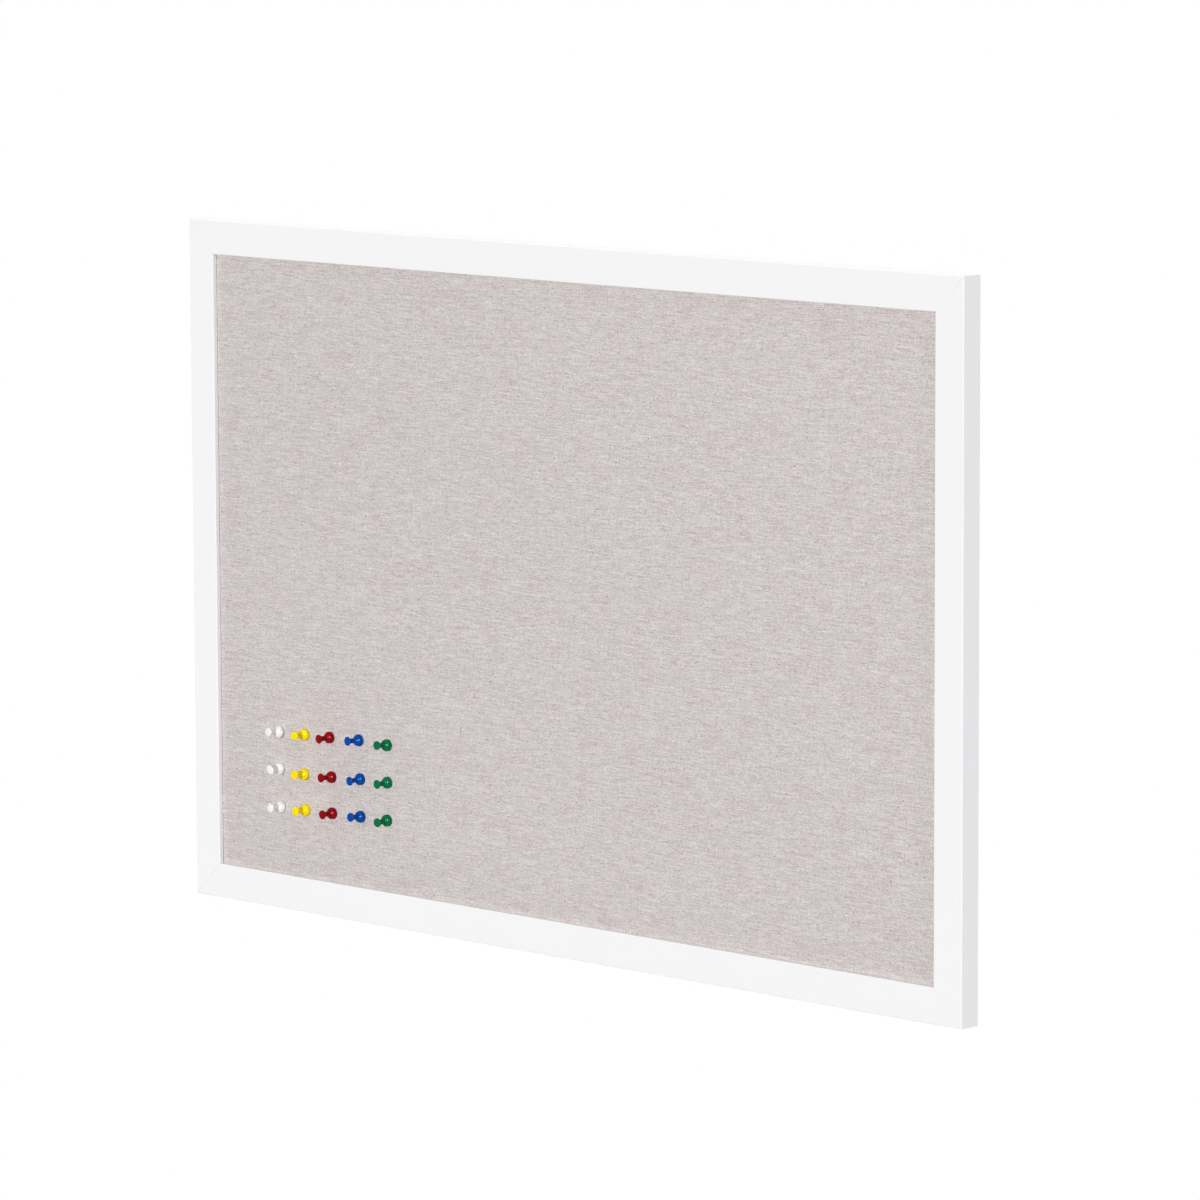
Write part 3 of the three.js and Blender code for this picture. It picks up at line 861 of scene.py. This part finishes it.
def bumper_outline():
    outline = [(0, 0), (BUMPER_RADIUS - BUMPER_FOOT, 0), (BUMPER_RADIUS, BUMPER_FOOT)]
    outline.append((BUMPER_RADIUS, BUMPER_EDGE))
    outline += curve_points(outline[-1], (BUMPER_RADIUS, BUMPER_HEIGHT), (BUMPER_FACE, BUMPER_HEIGHT), 12)
    outline.append((0, BUMPER_HEIGHT))
    return outline


def backwards(x, y, z):
    """A piece modelled upright is turned to stand out behind the board."""
    return Matrix.Translation((x, y, z)) @ Matrix.Rotation(-math.pi / 2, 4, "X")


master_bumper = turned("master_bumper", bumper_outline(), BUMPER_SEGMENTS)
smooth(master_bumper, 40)
bumpers = [node for node in frame["nodes"] if node.startswith("wall_bumper")]
for node in bumpers:
    low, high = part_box(node)
    middle = (low + high) / 2
    piece = copy_of(master_bumper, node.replace("_", "-"), backwards(middle.x, low.y, middle.z))
    finish(piece, rubber_material, "board", "rubber", node)
bpy.data.objects.remove(master_bumper)
print(f"{len(bumpers)} bumpers")

# %% [markdown]
# ## Ring hangers
# A hanger is a strip of steel folded over the straight bar of a wire ring and screwed to the
# stile. The wire ring is drawn as a line first: half a circle, two corners spun to the bar, and
# the bar's two ends that meet inside the fold. A round wire is then given to the line.

# %% Bend the ring
WIRE_RADIUS = 1.0 * MM
RING_HALF = 7.5 * MM
RING_SHOULDER = 3.0 * MM
RING_CORNER = 2.0 * MM
RING_JOINT = 0.4 * MM
RING_SEGMENTS = 64
master_ring = start("master_ring", bpy.ops.mesh.primitive_circle_add, vertices=RING_SEGMENTS,
                    radius=RING_HALF, location=(0, 0, RING_SHOULDER), rotation=(math.pi / 2, 0, 0),
                    fill_type="NOTHING")
pick(master_ring, "points", lambda point: point.z < RING_SHOULDER - NEAR)
bpy.ops.mesh.delete(type="VERT")
for side in (-1, 1):
    pick(master_ring, "points", lambda point: point.x * side > 0 and near(point.z, RING_SHOULDER))
    bpy.ops.mesh.extrude_region_move(TRANSFORM_OT_translate={"value": (0, 0, RING_CORNER - RING_SHOULDER)})
    bpy.ops.mesh.spin(steps=8, angle=-side * math.pi / 2, axis=(0, 1, 0),
                      center=(side * (RING_HALF - RING_CORNER), 0, RING_CORNER))
    bar = RING_HALF - RING_CORNER - RING_JOINT / 2
    bpy.ops.mesh.extrude_region_move(TRANSFORM_OT_translate={"value": (-side * bar, 0, 0)})
bpy.ops.mesh.select_all(action="SELECT")
bpy.ops.mesh.remove_doubles(threshold=WELD)
alone(master_ring)
bpy.ops.object.convert(target="CURVE")
master_ring.data.bevel_depth = WIRE_RADIUS
master_ring.data.bevel_resolution = 6
master_ring.data.use_fill_caps = True
bpy.ops.object.convert(target="MESH")
bpy.ops.object.mode_set(mode="EDIT")
bpy.ops.mesh.select_all(action="SELECT")
bpy.ops.mesh.remove_doubles(threshold=WELD)
bpy.ops.mesh.normals_make_consistent(inside=False)
smooth(master_ring, 50)
print(f"ring: {len(master_ring.data.polygons)} faces")

# %% [markdown]
# ## The strap
# The strap starts as a strip that lies on the stile. Its upper edge is spun round the bar, then
# pushed down to lie on the first leaf, and the strip gets its thickness. Its lower end is cut
# round and the screw's hole is taken out of both leaves. Folding a flat strip, as a press does,
# keeps the steel equally thick all the way round, which stacked blocks would not.

# %% Fold the strap
STRAP_THICKNESS = 0.8 * MM
STRAP_WIDTH = 10 * MM
STRAP_LENGTH = 25 * MM
STRAP_GAP = 0.2 * MM
LOOP_RADIUS = 2.05 * MM
FOLD_TURN = math.radians(240)
SCREW_DROP = 17.5 * MM
HOLE_CLEARANCE = 0.3 * MM
PRESSED_EDGE = 0.12 * MM
THROUGH = 12 * MM
strap_back = 2 * STRAP_THICKNESS + STRAP_GAP
leaf = STRAP_THICKNESS / 2
master_strap = start("master_strap", bpy.ops.mesh.primitive_plane_add, size=STRAP_WIDTH,
                     rotation=(math.pi / 2, 0, 0), location=(0, leaf, -STRAP_WIDTH / 2))
pick(master_strap, "edges", lambda a, b: near(a.z + b.z, -2 * STRAP_WIDTH))
bpy.ops.transform.translate(value=(0, 0, STRAP_WIDTH - STRAP_LENGTH))
pick(master_strap, "edges", lambda a, b: near(a.z, 0) and near(b.z, 0))
bpy.ops.mesh.spin(steps=24, angle=FOLD_TURN, axis=(1, 0, 0), center=(0, LOOP_RADIUS, 0))
bend = LOOP_RADIUS - leaf
fold_cos = math.cos(math.pi - FOLD_TURN)
fold_sin = math.sin(math.pi - FOLD_TURN)
fold_end = Vector((0, LOOP_RADIUS + bend * fold_cos, bend * fold_sin))
rest_y = strap_back - leaf
slope = Vector((0, fold_sin, -fold_cos))
to_leaf = slope * ((rest_y - fold_end.y) / slope.y)
to_end = -STRAP_LENGTH - (fold_end + to_leaf).z
bpy.ops.mesh.extrude_region_move(TRANSFORM_OT_translate={"value": to_leaf})
bpy.ops.mesh.extrude_region_move(TRANSFORM_OT_translate={"value": (0, 0, to_end)})
print(f"fold ends at {fold_end}, leaf returns at y {rest_y / MM:.2f} mm")
alone(master_strap)
modify(master_strap, "SOLIDIFY", thickness=STRAP_THICKNESS, offset=0, use_even_offset=True)
end_radius = STRAP_WIDTH / 2
rounder = start("rounder", bpy.ops.mesh.primitive_cylinder_add, vertices=64, radius=end_radius,
                depth=THROUGH, rotation=(math.pi / 2, 0, 0), location=(0, 0, end_radius - STRAP_LENGTH))
pick(rounder, "faces", lambda centre, normal: normal.z > 0.1 and abs(normal.y) < 0.5)
bpy.ops.mesh.extrude_region_move(TRANSFORM_OT_translate={"value": (0, 0, STRAP_LENGTH)})
modify(master_strap, "BOOLEAN", object=rounder, operation="INTERSECT", solver="EXACT")
driller = start("driller", bpy.ops.mesh.primitive_cylinder_add, vertices=48,
                radius=SCREW_RADIUS + HOLE_CLEARANCE, depth=THROUGH,
                rotation=(math.pi / 2, 0, 0), location=(0, 0, -SCREW_DROP))
cut(master_strap, driller)
for tool in (rounder, driller):
    bpy.data.objects.remove(tool)
modify(master_strap, "BEVEL", width=PRESSED_EDGE, segments=2, limit_method="ANGLE",
       angle_limit=math.radians(50))
smooth(master_strap)
print(f"strap: {len(master_strap.data.polygons)} faces")

# %% [markdown]
# ## The screw
# A point, a shank and a low round head: the screw is turned like the pins. Its thread could be
# wound round the shank, but that is out of sight in the wood, so it is left out. The driver's
# cross is two blocks taken out of the head.

# %% Turn the screw
SCREW_LENGTH = 12 * MM
SCREW_TIP = 3 * MM
HEAD_OUTER = 3.3 * MM
HEAD_HEIGHT = 2.1 * MM
HEAD_RIM = 0.8 * MM
RIM_EDGE = 0.15 * MM
CROSS_LENGTH = 3.6 * MM
CROSS_WIDTH = 0.8 * MM
CROSS_DEPTH = 1.2 * MM


def screw_outline():
    outline = [(0, -SCREW_LENGTH), (SCREW_RADIUS, SCREW_TIP - SCREW_LENGTH), (SCREW_RADIUS, 0),
               (HEAD_OUTER - RIM_EDGE, 0), (HEAD_OUTER, RIM_EDGE), (HEAD_OUTER, HEAD_RIM)]
    outline += curve_points(outline[-1], (HEAD_OUTER, HEAD_HEIGHT), (0, HEAD_HEIGHT), 10)
    return outline


master_screw = turned("master_screw", screw_outline(), 48)
for size in ((CROSS_LENGTH, CROSS_WIDTH), (CROSS_WIDTH, CROSS_LENGTH)):
    slot_block = start("slot", bpy.ops.mesh.primitive_cube_add, size=1, scale=(*size, 2 * CROSS_DEPTH),
                       location=(0, 0, HEAD_HEIGHT))
    cut(master_screw, slot_block)
    bpy.data.objects.remove(slot_block)
smooth(master_screw)
print(f"screw: {len(master_screw.data.polygons)} faces")

# %% [markdown]
# ## Two hangers
# A board this wide hangs from both sides, so each stile gets a ring, a strap and a screw. They
# could be placed one by one, but all three are set out from the ring's bar, because that is
# where they meet: the strap is folded round it and the ring turns on it.

# %% Hang them on the stiles
for side in ("left", "right"):
    low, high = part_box(f"{side}_hanger_ring")
    x = (low.x + high.x) / 2
    axis_z = low.z + WIRE_RADIUS
    frame_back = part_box(f"{side}_hanger_strap")[0].y
    bar_place = Matrix.Translation((x, frame_back + LOOP_RADIUS, axis_z))
    ring = copy_of(master_ring, f"{side}-hanger-ring", bar_place)
    finish(ring, zinc_material, f"{side}_ring", "zinc_steel", f"{side}_hanger_ring")
    strap_place = Matrix.Translation((x, frame_back, axis_z))
    strap = copy_of(master_strap, f"{side}-hanger-strap", strap_place)
    finish(strap, zinc_material, "board", "zinc_steel", f"{side}_hanger_strap")
    screw_place = backwards(x, frame_back + strap_back, axis_z - SCREW_DROP)
    screw = copy_of(master_screw, f"{side}-hanger-screw", screw_place)
    finish(screw, zinc_material, "board", "zinc_steel", f"{side}_hanger_screw")
for master in (master_ring, master_strap, master_screw):
    bpy.data.objects.remove(master)
print("two hangers")

# %% [markdown]
# ## Camera
# The photograph was taken from the right and a little above with a long lens. The place and
# the lens were found by fitting the frame's eight corners, so they are only written down here.

# %% Camera
CAMERA_PLACE = (3.2567, -3.3209, 0.4333)
CAMERA_DOWN = 7.667
CAMERA_ROUND = 44.249
CAMERA_ROLL = -0.229
CAMERA_LENS = 198.37
SENSOR_WIDTH = 36.0
bpy.ops.object.camera_add(location=CAMERA_PLACE)
camera = bpy.context.active_object
round_turn = Matrix.Rotation(math.radians(CAMERA_ROUND), 4, "Z")
down_turn = Matrix.Rotation(math.radians(90 - CAMERA_DOWN), 4, "X")
roll_turn = Matrix.Rotation(math.radians(CAMERA_ROLL), 4, "Z")
camera.rotation_euler = (round_turn @ down_turn @ roll_turn).to_euler()
camera.data.lens = CAMERA_LENS
camera.data.sensor_width = SENSOR_WIDTH
bpy.context.scene.camera = camera
print(f"camera {(Vector(CAMERA_PLACE) - BOARD_CENTRE).length:.2f} m from the board")

# %% [markdown]
# ## Light
# White stands all round, brighter overhead and behind than in front, as where a board is
# photographed before a white sweep. Panels of light could stand round the board, but a sky
# whose strength follows the direction gives the same soft shading with less noise. What the
# camera sees of it, straight or mirrored, is plain white.

# %% Surrounding light
IN_FRONT = 0.2
BEHIND = 0.8
OVERHEAD = 0.3


class Sky(Finish):
    def __init__(self, name):
        self.world = bpy.data.worlds.new(name)
        self.world.use_nodes = True
        self.tree = self.world.node_tree
        self.tree.nodes.clear()


sky = Sky("even_light")
direction = sky.place("Generated")
to_the_back = sky.axis(direction, "Y").over(-0.5).under(0.5) + 0.5
upward = sky.axis(direction, "Z").over(0.0)
strength = to_the_back * (BEHIND - IN_FRONT) + upward * OVERHEAD + IN_FRONT
white = (1, 1, 1, 1)
plain = sky.node("ShaderNodeBackground", None, {"Color": white, "Strength": 1.0})
level = sky.node("ShaderNodeBackground", None, {"Color": white, "Strength": strength})
both = sky.node("ShaderNodeMixShader", None, {0: sky.seen(), 1: level, 2: plain})
sky.node("ShaderNodeOutputWorld", None, {"Surface": both}, output=None)
bpy.context.scene.world = sky.world
print(f"surrounding light from {IN_FRONT} in front to {BEHIND} behind, {OVERHEAD} more overhead")

# %% [markdown]
# ## Lamps
# One lamp in front lights the board's face and lets each pin's head shade its skirt. A faint
# and slightly blue one, far round to the right, lights the frame's side, and one behind and
# above lights its top. The small highlight on every handle comes from a last lamp, which gives
# gloss only and shines on the handles alone. All are suns, because their light falls on every
# pin from the same side.

# %% Lamps
LAMPS = {
    "front_lamp": {"azimuth": 14, "elevation": 7, "spread": 2, "level": 0.7},
    "side_lamp": {"azimuth": 76, "elevation": 13, "spread": 3, "level": 0.115, "colour": (0.84, 0.84, 1.0)},
    "back_lamp": {"azimuth": 180, "elevation": 60, "spread": 20, "level": 0.285},
}
HIGHLIGHT = {"azimuth": 44, "elevation": 15, "spread": 7, "level": 5.0}


def lamp(name, azimuth, elevation, spread, level, colour=(1.0, 1.0, 1.0)):
    turn, rise = math.radians(azimuth), math.radians(elevation)
    towards = Vector((math.sin(turn) * math.cos(rise), -math.cos(turn) * math.cos(rise), math.sin(rise)))
    bpy.ops.object.light_add(type="SUN", location=BOARD_CENTRE + towards)
    made = bpy.context.active_object
    made.name = name
    made.rotation_euler = towards.to_track_quat("Z", "Y").to_euler()
    made.data.angle = math.radians(spread)
    made.data.energy = level * math.pi
    made.data.color = colour
    return made


for name, settings in LAMPS.items():
    lamp(name, **settings)
spark = lamp("highlight_lamp", **HIGHLIGHT)
spark.visible_diffuse = False
handles = bpy.data.collections.new("handles")
for pin in pins:
    handles.objects.link(bpy.data.objects[f"{pin.body}-handle"])
spark.light_linking.receiver_collection = handles
print(f"{len(LAMPS)} lamps, and one that gives only highlights")

# %% [markdown]
# ## Floor
# The floor lies well below the board, out of the photograph's view. It is white to the camera
# but keeps a share of its own shading, so that the board's shadow on it still shows.

# %% Floor
FLOOR_DROP = 2.0
FLOOR_RADIUS = 1.0
FLOOR_WHITE = 0.85
bpy.ops.mesh.primitive_circle_add(vertices=96, radius=FLOOR_RADIUS, fill_type="NGON",
                                  location=BOARD_CENTRE - Vector((0, 0, FLOOR_DROP)))
floor = bpy.context.active_object
floor.name = "floor"

floor_finish = Finish("floor")
floor_finish.set(Base_Color=(0.95, 0.95, 0.95, 1), Roughness=0.9)
shaded = Value(floor_finish, floor_finish.surface.outputs["BSDF"])
white = floor_finish.node("ShaderNodeEmission", None, {"Color": (1, 1, 1, 1), "Strength": 1.0})
clear = floor_finish.node("ShaderNodeBsdfTransparent")
below = floor_finish.node("ShaderNodeNewGeometry", output="Backfacing")
share = floor_finish.seen() * FLOOR_WHITE
lit = floor_finish.node("ShaderNodeMixShader", None, {0: share, 1: shaded, 2: white})
shown = floor_finish.node("ShaderNodeMixShader", None, {0: below, 1: lit, 2: clear})
floor_finish.feed(floor_finish.tree.nodes["Material Output"].inputs["Surface"], shown)
floor.data.materials.append(floor_finish.material)
bpy.context.scene.view_settings.view_transform = "Standard"
